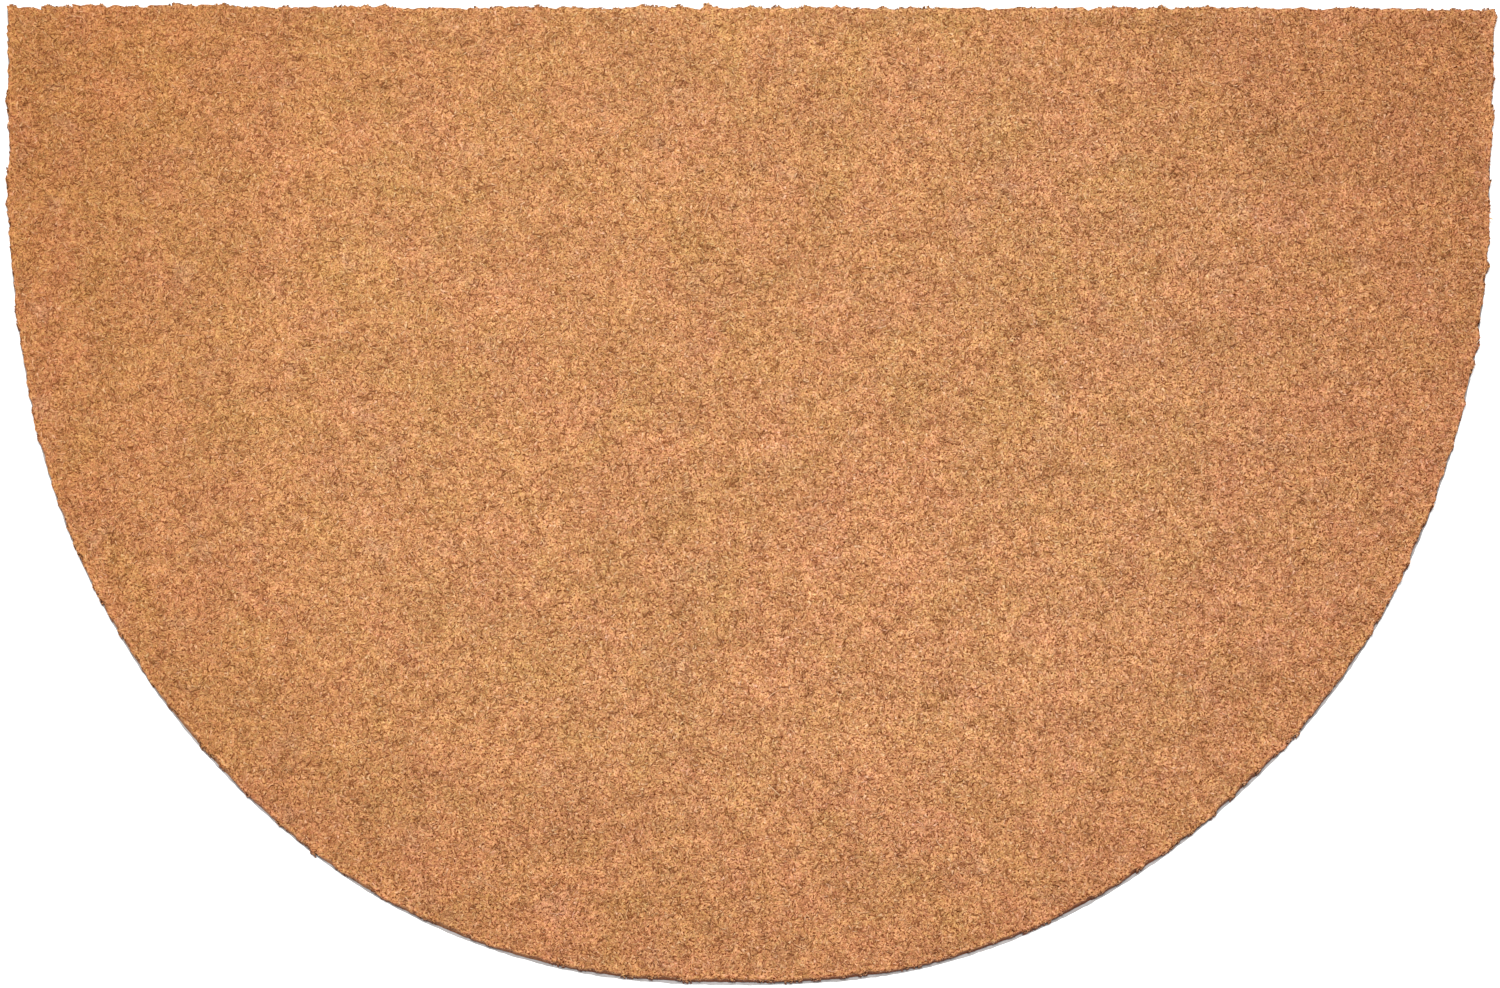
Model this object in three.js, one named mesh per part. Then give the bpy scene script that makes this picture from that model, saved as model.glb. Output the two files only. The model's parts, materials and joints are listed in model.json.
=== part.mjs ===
// Half round doormat: a tufted coconut fibre pile fused to a thin flexible backing.
// Millimetres, +Z up. +X runs along the straight back edge and +Y points at that edge.
// The origin is under the middle of the mat, on the floor.
import * as THREE from "three";

// The mat's outline
const WIDTH = 914; // across the back corners
const DEPTH = 609; // from the straight edge to the front of the curve
const SIDE_LENGTH = 100; // straight sides, from the back corners to where the curve starts
const SIDE_LEAN = 4.2; // how much nearer the middle each side is where the curve starts
const CURVE_POWER = 2.09; // 2 is a true half ellipse, and more is squarer
const FRONT_DRIFT = -7; // the front of the curve lies this far to one side
const BACK_FALL = 1.9; // the back edge is cut this much lower at the right corner
// How far the hand-guided cut strays outwards from those lines, at even steps from the
// back left corner, round the curve, to the back right corner
const CUT_STRAY = [0.5, 1.3, 0, 1.1, 0.2, 0, 1.8, 1.3, -0.9, 1.8, 1.3, -0.1, 1.9, 1.1, 0.8, 0, 0.8];

// The layers
const BACKING_THICKNESS = 2;
const LAYER_GAP = 0.3;
const PILE_TOP = 15;
const BACKING_INSET = 0.2; // from the cut outline back to the edge of the backing
const TUFT_RAGGED = 0.9; // how far a tuft at the edge stands out or in
const TOP_LUMP = 0.35; // how far the trimmed top rises and falls

// The pile's edge in section, from its root up to the shoulder under the trimmed top.
// A row's inset is from the outline towards the middle of the mat, and ragged is the
// share of TUFT_RAGGED that it shows.
const PILE_EDGE = [
  { height: BACKING_THICKNESS + LAYER_GAP, inset: 1.6, ragged: 0.2 },
  { height: 6.5, inset: 0.9, ragged: 0.7 },
  { height: 11.5, inset: 0.5, ragged: 1 },
  { height: 14.2, inset: 2.1, ragged: 0.8 },
];

// Each wide face is carried to the middle by smaller rings with fewer points. A ring's
// share is its size against the outline.
const PILE_POINTS = { curve: 282, back: 150 };
const BACKING_POINTS = { curve: 141, back: 75 };
const FACE_RINGS = [
  { share: 0.985, count: 216 },
  { share: 0.94, count: 108 },
  { share: 0.86, count: 108 },
  { share: 0.77, count: 108 },
  { share: 0.67, count: 54 },
  { share: 0.55, count: 54 },
  { share: 0.43, count: 54 },
  { share: 0.3, count: 27 },
  { share: 0.16, count: 27 },
];
const CURVE_STEPS = 720;

const SEED_EDGE = 11;
const SEED_TOP = 29;

// Repeatable numbers spread evenly from -1 to 1, the same on every machine.
function scatter(index, seed) {
  let bits = Math.imul(index + 1, 0x9e3779b1) ^ Math.imul(seed, 0x85ebca6b);
  bits = Math.imul(bits ^ (bits >>> 15), 0x2c1b3c6d);
  bits = Math.imul(bits ^ (bits >>> 12), 0x297a2d39);
  return (((bits ^ (bits >>> 15)) >>> 0) / 0xffffffff) * 2 - 1;
}

// The sides and the curve as they were marked out, from the back left corner round to
// the back right one.
function markedEdge() {
  const curveStart = DEPTH / 2 - SIDE_LENGTH;
  const curveDepth = DEPTH - SIDE_LENGTH;
  const halfWidth = WIDTH / 2 - SIDE_LEAN;
  const roundness = 2 / CURVE_POWER;
  const points = [new THREE.Vector2(-WIDTH / 2, DEPTH / 2)];
  for (let i = 0; i <= CURVE_STEPS; i++) {
    const angle = Math.PI * (1 - i / CURVE_STEPS);
    const forward = Math.max(Math.sin(angle), 0) ** roundness;
    const across = Math.sign(Math.cos(angle)) * Math.abs(Math.cos(angle)) ** roundness;
    const x = halfWidth * across + FRONT_DRIFT * forward;
    points.push(new THREE.Vector2(x, curveStart - curveDepth * forward));
  }
  points.push(new THREE.Vector2(WIDTH / 2, DEPTH / 2 - BACK_FALL));
  return points;
}

// The same edge as it was cut, a little outside or inside its marks.
function cutEdge() {
  const marked = new THREE.Path(markedEdge()).getSpacedPoints(CURVE_STEPS);
  const stray = new THREE.SplineCurve(
    CUT_STRAY.map((out, i) => new THREE.Vector2(i, out)),
  );
  return marked.map((point, i) => {
    const before = marked[Math.max(i - 1, 0)];
    const after = marked[Math.min(i + 1, CURVE_STEPS)];
    const along = after.clone().sub(before).normalize();
    const outwards = new THREE.Vector2(along.y, -along.x);
    return point.clone().addScaledVector(outwards, stray.getPoint(i / CURVE_STEPS).y);
  });
}

// The whole outline, anticlockwise from above, in even steps round the curve and along
// the straight back edge. Both back corners are points of it.
function outline(count) {
  const edge = cutEdge();
  const back = new THREE.Path([edge[edge.length - 1], edge[0]]);
  return [
    ...new THREE.Path(edge).getSpacedPoints(count.curve).slice(0, count.curve),
    ...back.getSpacedPoints(count.back).slice(0, count.back),
  ];
}

// A point of the outline moved towards the middle of the mat.
function inwards(point, distance) {
  return point.clone().multiplyScalar(1 - distance / point.length());
}

// The rings of one wide face, from the edge to the middle.
function faceRings(points, heightAt) {
  return FACE_RINGS.map(({ share, count }, ringNumber) => {
    const kept = points.filter((_, i) => i % (points.length / count) === 0);
    return kept.map((p, i) => {
      const height = heightAt(i + ringNumber * points.length);
      return new THREE.Vector3(p.x * share, p.y * share, height);
    });
  });
}

// The triangles between two rings that follow each other from the underside's middle,
// out, up and back in to the top's middle. One may have twice the points of the other.
function bridge(first, second) {
  const count = Math.min(first.length, second.length);
  const triangles = [];
  for (let i = 0; i < count; i++) {
    const next = (i + 1) % count;
    if (first.length === second.length) {
      triangles.push([first[i], first[next], second[next]]);
      triangles.push([first[i], second[next], second[i]]);
    } else if (first.length > second.length) {
      const between = first[2 * i + 1];
      triangles.push([first[2 * i], between, second[i]]);
      triangles.push([between, second[next], second[i]]);
      triangles.push([between, first[2 * next], second[next]]);
    } else {
      const between = second[2 * i + 1];
      triangles.push([first[i], first[next], between]);
      triangles.push([first[i], between, second[2 * i]]);
      triangles.push([first[next], second[2 * next], between]);
    }
  }
  return triangles;
}

// One closed layer from its rings, with a point at the middle of each wide face.
function layerGeometry(rings, lowMiddle, highMiddle) {
  const corners = [];
  const addTriangles = (triangles) => triangles.flat().forEach((p) => corners.push(p));
  const lowest = rings[0];
  const highest = rings[rings.length - 1];
  lowest.forEach((p, i) => {
    addTriangles([[lowMiddle, lowest[(i + 1) % lowest.length], p]]);
  });
  for (let i = 0; i + 1 < rings.length; i++) {
    addTriangles(bridge(rings[i], rings[i + 1]));
  }
  highest.forEach((p, i) => {
    addTriangles([[p, highest[(i + 1) % highest.length], highMiddle]]);
  });
  const geometry = new THREE.BufferGeometry().setFromPoints(corners);
  geometry.computeVertexNormals();
  return geometry;
}

// The backing: a flat sheet, cut to the outline.
function backingGeometry(points) {
  const cut = points.map((p) => inwards(p, BACKING_INSET));
  const underside = faceRings(cut, () => 0).reverse();
  const upper = faceRings(cut, () => BACKING_THICKNESS);
  const lowEdge = cut.map((p) => new THREE.Vector3(p.x, p.y, 0));
  const highEdge = cut.map((p) => new THREE.Vector3(p.x, p.y, BACKING_THICKNESS));
  return layerGeometry(
    [...underside, lowEdge, highEdge, ...upper],
    new THREE.Vector3(0, 0, 0),
    new THREE.Vector3(0, 0, BACKING_THICKNESS),
  );
}

// The pile: a dense slab with ragged tufts round its edge and a gently lumpy top.
function pileGeometry(points) {
  const root = PILE_EDGE[0].height;
  const underside = faceRings(points, () => root).reverse();
  const edge = PILE_EDGE.map(({ height, inset, ragged }) =>
    points.map((point, i) => {
      const p = inwards(point, inset - ragged * TUFT_RAGGED * scatter(i, SEED_EDGE));
      return new THREE.Vector3(p.x, p.y, height);
    }),
  );
  const top = faceRings(points, (i) => PILE_TOP + TOP_LUMP * scatter(i, SEED_TOP));
  return layerGeometry(
    [...underside, ...edge, ...top],
    new THREE.Vector3(0, 0, root),
    new THREE.Vector3(0, 0, PILE_TOP),
  );
}

// A named piece with its own finish.
function piece(name, geometry, finish) {
  const mesh = new THREE.Mesh(geometry, new THREE.MeshStandardMaterial(finish));
  mesh.name = name;
  return mesh;
}

const group = new THREE.Group();
const greySheet = { color: 0x8b8480, roughness: 0.75, metalness: 0 };
const coir = { color: 0xc88c5e, roughness: 0.95, metalness: 0 };
group.add(piece("backing", backingGeometry(outline(BACKING_POINTS)), greySheet));
group.add(piece("pile", pileGeometry(outline(PILE_POINTS)), coir));

export default group;
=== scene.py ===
"""Half round coir doormat: its backing sheet, pile body, cut tufts, edge tufts and loose fibres."""
import json
import math

import bpy
import numpy as np
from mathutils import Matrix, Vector
from mathutils.geometry import delaunay_2d_cdt

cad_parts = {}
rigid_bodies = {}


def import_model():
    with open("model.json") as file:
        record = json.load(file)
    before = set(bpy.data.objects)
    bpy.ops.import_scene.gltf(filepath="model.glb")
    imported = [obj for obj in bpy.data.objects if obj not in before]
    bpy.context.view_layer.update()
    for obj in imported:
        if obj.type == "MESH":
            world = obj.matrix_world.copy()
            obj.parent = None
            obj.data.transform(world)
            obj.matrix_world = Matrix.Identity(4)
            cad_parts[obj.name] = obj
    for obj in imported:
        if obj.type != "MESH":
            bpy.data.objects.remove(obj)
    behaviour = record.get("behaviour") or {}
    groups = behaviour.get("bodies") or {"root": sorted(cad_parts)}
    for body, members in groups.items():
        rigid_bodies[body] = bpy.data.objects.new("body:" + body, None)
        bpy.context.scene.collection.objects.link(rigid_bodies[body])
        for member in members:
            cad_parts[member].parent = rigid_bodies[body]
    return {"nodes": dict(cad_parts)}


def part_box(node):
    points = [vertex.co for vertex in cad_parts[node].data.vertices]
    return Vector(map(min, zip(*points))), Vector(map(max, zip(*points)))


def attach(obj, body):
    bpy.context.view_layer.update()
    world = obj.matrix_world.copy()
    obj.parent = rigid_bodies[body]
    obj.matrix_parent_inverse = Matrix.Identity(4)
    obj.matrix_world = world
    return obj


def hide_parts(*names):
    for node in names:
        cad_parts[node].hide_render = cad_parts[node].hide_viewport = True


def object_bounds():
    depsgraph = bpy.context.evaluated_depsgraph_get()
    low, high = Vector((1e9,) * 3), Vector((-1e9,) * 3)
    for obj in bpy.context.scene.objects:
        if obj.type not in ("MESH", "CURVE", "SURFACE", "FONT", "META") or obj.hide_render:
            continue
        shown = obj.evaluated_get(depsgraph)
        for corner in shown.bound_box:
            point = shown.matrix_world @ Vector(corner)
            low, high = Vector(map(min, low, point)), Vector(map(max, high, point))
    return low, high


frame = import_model()
cad_low, cad_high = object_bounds()
pile_low, pile_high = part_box("pile")
backing_low, backing_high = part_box("backing")

bl_info = {
    "name": "Half Round Coir Doormat",
    "version": (1, 0, 0),
    "blender": (4, 5, 0),
    "location": "View3D > Sidebar > Doormat",
    "description": "Builds a half round coir doormat from its backing sheet, pile and loose fibres",
    "category": "Add Mesh",
}

MM = 0.001

# The camera looks down at the mat from its front, a little off its middle, with a long lens.
CAMERA_ELEVATION = math.radians(76.6)
CAMERA_DISTANCE = 5.055
CAMERA_LENS = 200
CAMERA_FAR = 50
CAMERA_AIM = Vector((-0.45 * MM, -1.1 * MM, 0))

# The stage: how far the floor reaches, and one soft light high over the mat, under a pale sky
FLOOR_REACH = 30
LIGHT_PLACE = Vector((-0.1, -0.45, 6))
LIGHT_SIZE = 0.9
LIGHT_POWER = 423
SKY_STRENGTH = 0.65

SEED_SITES = 3
SEED_BODY = 4
SEED_TUFTS = 5
SEED_EDGE = 7
SEED_LOOSE = 9
SEED_BACKING = 13
SEED_RIM = 17
TUFT_KINDS = 16
TUFT_BANDS = ("back", "upper", "middle", "lower", "front")
# How far the points of an uneven grid stray, as a share of their spacing
GRID_STRAY = 0.22

# How the rim is found in the solid backing. The corners of its underside lie below this
# height and outside this radius, on spokes at least this far apart, in radians.
UNDERSIDE_HEIGHT = 0.1 * MM
MIDDLE_RADIUS = 10 * MM
SPOKE_TURN = 0.002

# The rim of the pile: its points along the rim, how far inside the solid pile's rim it
# lies, and how it wanders in and out. Each row is one size of bump: how far apart its
# bumps are along the rim, and how far they usually stand out or in.
RIM_STEP = 1.5 * MM
RIM_INSET = 0.5 * MM
RIM_BUMPS = (
    {"apart": 2.4 * MM, "out": 0.48 * MM},
    {"apart": 6 * MM, "out": 0.5 * MM},
    {"apart": 20 * MM, "out": 0.4 * MM},
)

# The pile was cut a little further back than its backing on the side that faces this
# way, an angle from +X.
SETBACK = 0.8 * MM
SETBACK_WAY = math.radians(-70)

# The backing's cut edge: how far it wanders, and how much its corners are broken
BACKING_WANDER = 0.5 * MM
BACKING_CORNER = 0.25 * MM

# The body of the pile, seen between the tufts. A row is one ring of its side, from the
# shoulder down to the root. Its inset is from the rim, bumps is the share of the rim's
# bumps that it shows, and depth is how much painted shade darkens it, from 0 to 1.
BODY_SIDE = (
    {"height": 13.7 * MM, "inset": 1.6 * MM, "bumps": 1.0, "depth": 0.1},
    {"height": 13.0 * MM, "inset": 0.6 * MM, "bumps": 1.0, "depth": 0.4},
    {"height": 9.5 * MM, "inset": 0.5 * MM, "bumps": 0.8, "depth": 0.95},
    {"height": 7.5 * MM, "inset": 0.7 * MM, "bumps": 0.6, "depth": 1.0},
    {"height": 2.3 * MM, "inset": 0.7 * MM, "bumps": 0.2, "depth": 1.0},
)
BODY_TOP = 13.0 * MM
BODY_UNEVEN = 0.45 * MM
BODY_SPACING = 5.4 * MM
BODY_INNER_INSET = 2.5 * MM
# How much painted shade darkens the lowest places of its top, and what share of their
# painted shade the rows of its side keep where the pile isn't set back
TOP_DEPTH = 1 / 3
SIDE_DEPTH = 0.4

# The tufts on top, trimmed a little under the highest lump of the solid pile. Their
# fibres fan out from a circle of this radius, in tuft spacings.
TRIM_DROP = 0.35 * MM
TUFT_ROOT = 12.4 * MM
TUFT_RIM_INSET = 6.2 * MM
TUFT_RADIUS = 0.6
TUFT_SIZES = (0.88, 1.04)

# The tufts round the cut edge, in one row along the rim and one behind it. Each is
# rounded at the rim, and its fibres keep within a reach to each side of its middle.
EDGE_SPACING = 5.5 * MM
EDGE_INSET = 2.4 * MM
EDGE_SECOND_INSET = 5.0 * MM
EDGE_UNEVEN = 0.9 * MM
EDGE_LEAN = math.radians(1.5)
EDGE_TURN = math.radians(4)
EDGE_SIZES = (0.97, 1.02)
CLUMP_RADIUS = 2.6 * MM
CLUMP_REACH = 3.4 * MM
EDGE_LONG_FIBRES = 10
EDGE_TOP_FIBRES = 11
# From how far behind its middle to how far before it its upper fibres' roots lie, in edge
# spacings, and how far inside its own edge their tips keep
TOP_ROOTS = (-0.5, 0.3)
TOP_TIP_INSET = (0.1 * MM, 0.8 * MM)

# The long fibres of such a tuft, from the backing to a little under the trimmed top.
# Their roots lie this far inside the rim, and their tips inside the tuft's own edge.
STEM_ROOT = 2.35 * MM
STEM_ROOT_INSET = (0.7 * MM, 1.4 * MM)
STEM_TIP_INSET = (0.1 * MM, 0.6 * MM)
STEM_TIP_DROP = (0.4 * MM, 2.4 * MM)
STEM_STRAY = 0.3 * MM

# From the least to the most: how far fibres lean and how wide they are, as shares of the
# usual, and how far they rise, as a share of the way from their roots to the trimmed top
LEANS = (0.3, 1.5)
WIDTHS = (0.6, 1.4)
STEM_WIDTHS = (1.0, 1.7)
RISES = (0.45, 1.0)

# How far along itself a fibre is at its root and at its tip, which sets the painted shade that
# darkens it towards its root
TUFT_ALONG = (0.0, 1.0)
RIM_ALONG = (0.0, 0.92)
STEM_ALONG = (-3.4, 2.0)

# The fibres' own tones, from 0 for the darkest to 1 for the palest
TONE_USUAL = 0.52
TONE_SPREAD = 0.25
TONE_RANGE = (0.08, 0.9)
PALE_SHARE = 0.02

# The loose fibres: bent three-sided strands that arch up out of the pile
LOOSE_RIM_INSET = 14 * MM
LOOSE_LENGTH = (4 * MM, 11 * MM)
LOOSE_WIDTH = (0.3 * MM, 0.6 * MM)
LOOSE_BEND = 0.9
LOOSE_TONE = (0.8, 1.0)
LOOSE_SUNK = 0.5 * MM
LOOSE_ARCH = 0.7 * MM
# A strand swells and thins as half a wave does, with this share left off at each end.
LOOSE_TAPER = 0.12
LOOSE_STEPS = 8
LOOSE_SIDES = 3

# What the fibres' colour is multiplied by, in linear light: in patches, from the back
# left of the mat to its front right, as painted shade near its rim, and in the painted shade
# between fibres, in pits and towards their roots
GREENER = (0.967, 1.077, 0.885)
ROSIER = (1.069, 0.945, 1.165)
BACK_LEFT = (0.951, 0.916, 0.834)
FRONT_RIGHT = (1.055, 1.069, 1.19)
PAINTED_RIM_SHADE = (0.865, 0.775, 0.725)
IN_SHADE = (0.25, 0.125, 0.05)

# The painted shade near the rim, which stands for light falling off away from the middle, begins
# towards the edge of an oval with these radii, in metres. Its middle lies behind the mat's by this
# share of the second one.
OVAL_RADII = (0.38, 0.35)
OVAL_BACK = 0.18

# How wide the blotches of the coir's colour and light are
PATCH_SIZE = 34 * MM
SPECK_SIZE = 2.2 * MM
FADED_SIZE = 21 * MM
BROAD_SIZE = 60 * MM
ROW_SIZE = 17 * MM
# The same for the packed fibres' locks, strands, pits of painted shade and wavering, and how far
# they waver
LOCK_SIZE = 3.2 * MM
STRAND_SIZE = 0.7 * MM
PIT_SHADE_SIZE = 1.3 * MM
WAVER_SIZE = 2 * MM
WAVER_REACH = 1.6 * MM
# The same for the backing's grain, clouds and dust
GRAIN_SIZE = 1.1 * MM
CLOUD_SIZE = 45 * MM
DUST_SIZE = 2.3 * MM

# How far round a fibre's tip edge is turned from its root edge
TUFT_TWIST = math.radians(50)
EDGE_TWIST = math.radians(85)
# The most that a fibre is turned about its own length, either way, in radians
FIBRE_TURN = 0.4
# Almost straight up, so that no fibre stands exactly along it
NEARLY_UP = (0.02, 0.03, 1.0)

# Which corners of a fibre make its four faces. A fibre is a thin solid between its root
# edge, corners 0 and 1, and its tip edge, corners 2 and 3.
FIBRE_FACES = ((0, 1, 2), (0, 3, 1), (0, 2, 3), (1, 3, 2))
# Where each of those faces lies in a fibre's cell of the colour map.
FIBRE_CELL = (
    ((0.06, 0.06), (0.44, 0.06), (0.06, 0.9)),
    ((0.48, 0.94), (0.1, 0.94), (0.48, 0.1)),
    ((0.56, 0.06), (0.94, 0.06), (0.56, 0.9)),
    ((0.98, 0.94), (0.6, 0.94), (0.98, 0.1)),
)


class DoormatSizes(bpy.types.PropertyGroup):
    """The sizes that a user would change."""

    tuft_spacing: bpy.props.FloatProperty(
        name="Tuft spacing",
        description="Distance from one tuft to the next",
        default=4.8 * MM,
        unit="LENGTH",
    )
    trim_height: bpy.props.FloatProperty(
        name="Trim height",
        description="Height above the floor at which the tufts are cut",
        default=pile_high.z - TRIM_DROP,
        unit="LENGTH",
    )
    fibres_per_tuft: bpy.props.IntProperty(
        name="Fibres in a tuft",
        description="How many cut fibres stand in each tuft",
        default=9,
    )
    fibre_width: bpy.props.FloatProperty(
        name="Fibre width",
        description="Width of a middling coconut fibre or small lock of them",
        default=0.74 * MM,
        unit="LENGTH",
    )
    fibre_lean: bpy.props.FloatProperty(
        name="Fibre lean",
        description="How far sideways a fibre's tip usually stands from its root",
        default=3.8 * MM,
        unit="LENGTH",
    )
    tuft_turn: bpy.props.FloatProperty(
        name="Tuft lean",
        description="The most that a whole tuft leans",
        default=math.radians(14),
        subtype="ANGLE",
    )
    loose_fibres: bpy.props.IntProperty(
        name="Loose fibres",
        description="How many pale loose fibres lie on the pile",
        default=160,
    )


class DoormatColours(bpy.types.PropertyGroup):
    """The colours that a user would change, in linear light."""

    fibre_dark: bpy.props.FloatVectorProperty(
        name="Dark fibre",
        description="The darkest coconut fibres",
        default=(0.18, 0.054, 0.014),
        subtype="COLOR",
    )
    fibre_middle: bpy.props.FloatVectorProperty(
        name="Middle fibre",
        description="The commonest fibres",
        default=(0.49, 0.232, 0.092),
        subtype="COLOR",
    )
    fibre_light: bpy.props.FloatVectorProperty(
        name="Light fibre",
        description="The lighter golden fibres",
        default=(0.67, 0.38, 0.178),
        subtype="COLOR",
    )
    fibre_pale: bpy.props.FloatVectorProperty(
        name="Pale fibre",
        description="The few pale straw fibres",
        default=(0.74, 0.48, 0.28),
        subtype="COLOR",
    )
    backing: bpy.props.FloatVectorProperty(
        name="Backing",
        description="The flexible backing sheet",
        default=(0.31, 0.295, 0.29),
        subtype="COLOR",
    )
    floor: bpy.props.FloatVectorProperty(
        name="Floor",
        description="The pale studio floor",
        default=(0.9, 0.9, 0.9),
        subtype="COLOR",
    )


# The outline

def backing_rim():
    """The corners of the solid backing's rim, in order round the mat and back to the first."""
    mesh = frame["nodes"]["backing"].data
    corners = np.empty(len(mesh.vertices) * 3)
    mesh.vertices.foreach_get("co", corners)
    corners = corners.reshape(-1, 3)
    under = corners[corners[:, 2] < UNDERSIDE_HEIGHT][:, :2]
    distance = np.hypot(under[:, 0], under[:, 1])
    under = under[distance > MIDDLE_RADIUS]
    distance = distance[distance > MIDDLE_RADIUS]
    direction = np.arctan2(under[:, 1], under[:, 0])
    order = np.argsort(direction)
    ends = np.flatnonzero(np.diff(direction[order]) > SPOKE_TURN) + 1
    spokes = [spoke[np.argmax(distance[spoke])] for spoke in np.split(order, ends)]
    return under[spokes + spokes[:1]]


class Outline:
    """The rim of the mat, from the frame, as evenly spaced points and the way out at each."""

    def __init__(self):
        cut = backing_rim()
        step = np.hypot(*np.diff(cut, axis=0).T)
        along = np.concatenate(([0], np.cumsum(step)))
        self.count = round(along[-1] / RIM_STEP)
        at = np.arange(self.count) * along[-1] / self.count
        rim = np.column_stack((np.interp(at, along, cut[:, 0]), np.interp(at, along, cut[:, 1])))
        tangent = np.roll(rim, -1, axis=0) - np.roll(rim, 1, axis=0)
        self.outward = np.arctan2(-tangent[:, 0], tangent[:, 1])
        self.direction = np.arctan2(rim[:, 1], rim[:, 0])
        self.square = np.cos(self.outward - self.direction)
        self.backing = np.hypot(rim[:, 0], rim[:, 1])
        self.set_back = np.maximum(np.cos(self.outward - SETBACK_WAY), 0) ** 2
        self.overhang = pile_high.x - backing_high.x - RIM_INSET - SETBACK * self.set_back
        self.tips = self.backing + self.overhang / self.square
        self.bumps = self.rim_bumps()

    def rim_bumps(self):
        """How far the pile's rim stands out at each point, in bumps of several sizes."""
        rng = np.random.default_rng(SEED_RIM)
        total = np.zeros(self.count)
        for bump in RIM_BUMPS:
            number = round(self.count * RIM_STEP / bump["apart"])
            heights = rng.normal(0, bump["out"], number)
            places = np.arange(number) * self.count / number
            total += np.interp(np.arange(self.count), places, heights, period=self.count)
        return total

    def reach(self, inset, bumps):
        """The distance from the middle at each point, this far inside the rim."""
        return self.tips + (bumps * self.bumps - inset) / self.square

    def ring(self, inset, bumps=1.0):
        """The rim's points, this far inside it."""
        reach = self.reach(inset, bumps)
        return np.column_stack((reach * np.cos(self.direction), reach * np.sin(self.direction)))

    def sites(self, inset, spacing, start=0.0):
        """Places along the rim and the way out at each; start is a share of the spacing."""
        number = round(self.count * RIM_STEP / spacing)
        at = np.round((np.arange(number) + start) * self.count / number).astype(int) % self.count
        return self.ring(inset)[at], self.outward[at]

    def holds(self, points, inset):
        """Which of the points lie at least this far inside the rim."""
        direction = np.arctan2(points[:, 1], points[:, 0])
        reach = np.interp(direction, self.direction, self.reach(inset, 0.0), period=2 * math.pi)
        return np.hypot(points[:, 0], points[:, 1]) < reach


def uneven_grid(outline, spacing, inset, seed):
    """An uneven triangular grid of points inside the rim."""
    rng = np.random.default_rng(seed)
    row_step = spacing * math.sqrt(0.75)
    columns = np.arange(cad_low.x, cad_high.x, spacing)
    rows = np.arange(cad_low.y, cad_high.y, row_step)
    x, y = np.meshgrid(columns, rows)
    x[1::2] += spacing / 2
    points = np.column_stack((x.ravel(), y.ravel()))
    points += rng.uniform(-GRID_STRAY, GRID_STRAY, points.shape) * spacing
    return points[outline.holds(points, inset)]


def inside_rim(corners, count):
    """Whether a triangle lies inside the rim, whose points are the first ones in order."""
    first, second, third = corners
    upwards = (first < second) + (second < third) + (third < first)
    return max(corners) >= count or upwards == 2


# Meshes

def plain_mesh(name, vertices, faces, attributes):
    """A mesh with values stored on its points."""
    mesh = bpy.data.meshes.new(name)
    mesh.from_pydata(vertices, [], faces)
    for label, values in attributes.items():
        mesh.attributes.new(label, "FLOAT", "POINT").data.foreach_set("value", values)
    mesh.update()
    return mesh


def add_piece(name, mesh):
    """An object of this mesh, at the origin."""
    piece = bpy.data.objects.new(name, mesh)
    bpy.context.scene.collection.objects.link(piece)
    return piece


def wall(lower, upper, count):
    """The faces between two rings of this many points, given by where each ring starts."""
    faces = []
    for i in range(count):
        following = (i + 1) % count
        faces.append((lower + i, lower + following, upper + following, upper + i))
    return faces


def fibre_mesh_data(rng, roots, tips, widths, twist, along):
    """The corners, faces and stored values of straight fibres from their roots to their tips."""
    count = len(roots)
    axis = tips - roots
    axis /= np.linalg.norm(axis, axis=1)[:, None]
    level = np.cross(axis, NEARLY_UP)
    level /= np.linalg.norm(level, axis=1)[:, None]
    across = np.cross(axis, level)
    turn = rng.uniform(-FIBRE_TURN, FIBRE_TURN, count)[:, None]
    half = widths[:, None] / 2
    root_edge = (level * np.cos(turn - twist / 2) + across * np.sin(turn - twist / 2)) * half
    tip_edge = (level * np.cos(turn + twist / 2) + across * np.sin(turn + twist / 2)) * half
    corners = (roots - root_edge, roots + root_edge, tips - tip_edge, tips + tip_edge)
    vertices = np.stack(corners, axis=1).reshape(-1, 3)
    starts = 4 * np.arange(count)
    faces = (starts[:, None, None] + np.array(FIBRE_FACES)[None]).reshape(-1, 3)
    tones = np.clip(rng.normal(TONE_USUAL, TONE_SPREAD, count), *TONE_RANGE)
    tones[rng.random(count) < PALE_SHARE] = 1.0
    return vertices, faces, {
        "along": np.tile((along[0], along[0], along[1], along[1]), count),
        "tone": np.repeat(tones, 4),
    }


def lay_out_fibres(mesh):
    """Give each fibre its own cell of the colour map."""
    fibres = len(mesh.polygons) // len(FIBRE_FACES)
    cells = math.ceil(math.sqrt(fibres))
    index = np.arange(fibres)
    corner = np.column_stack((index % cells, index // cells)).astype(float)
    uv = corner[:, None, :] + np.array(FIBRE_CELL).reshape(-1, 2)[None]
    layer = mesh.uv_layers.new(name="OFBake")
    layer.data.foreach_set("uv", (uv / cells).astype(np.float32).ravel())


def finish_piece(piece, material):
    """What every piece of the mat shares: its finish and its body."""
    piece.data.materials.clear()
    piece.data.materials.append(material)
    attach(piece, "root")


# Node trees

def add_node(tree, kind, settings=None, inputs=None):
    """Add a node, set its own settings and the values of its inputs."""
    node = tree.nodes.new(kind)
    for name, value in (settings or {}).items():
        setattr(node, name, value)
    for key, value in (inputs or {}).items():
        if isinstance(value, bpy.types.NodeSocket):
            tree.links.new(value, node.inputs[key])
        else:
            node.inputs[key].default_value = value
    return node


def maths(tree, operation, first, second=0.0, third=0.0):
    """One sum on two or three values, each a number or another node's output."""
    inputs = {0: first, 1: second, 2: third}
    return add_node(tree, "ShaderNodeMath", {"operation": operation}, inputs).outputs[0]


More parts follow.
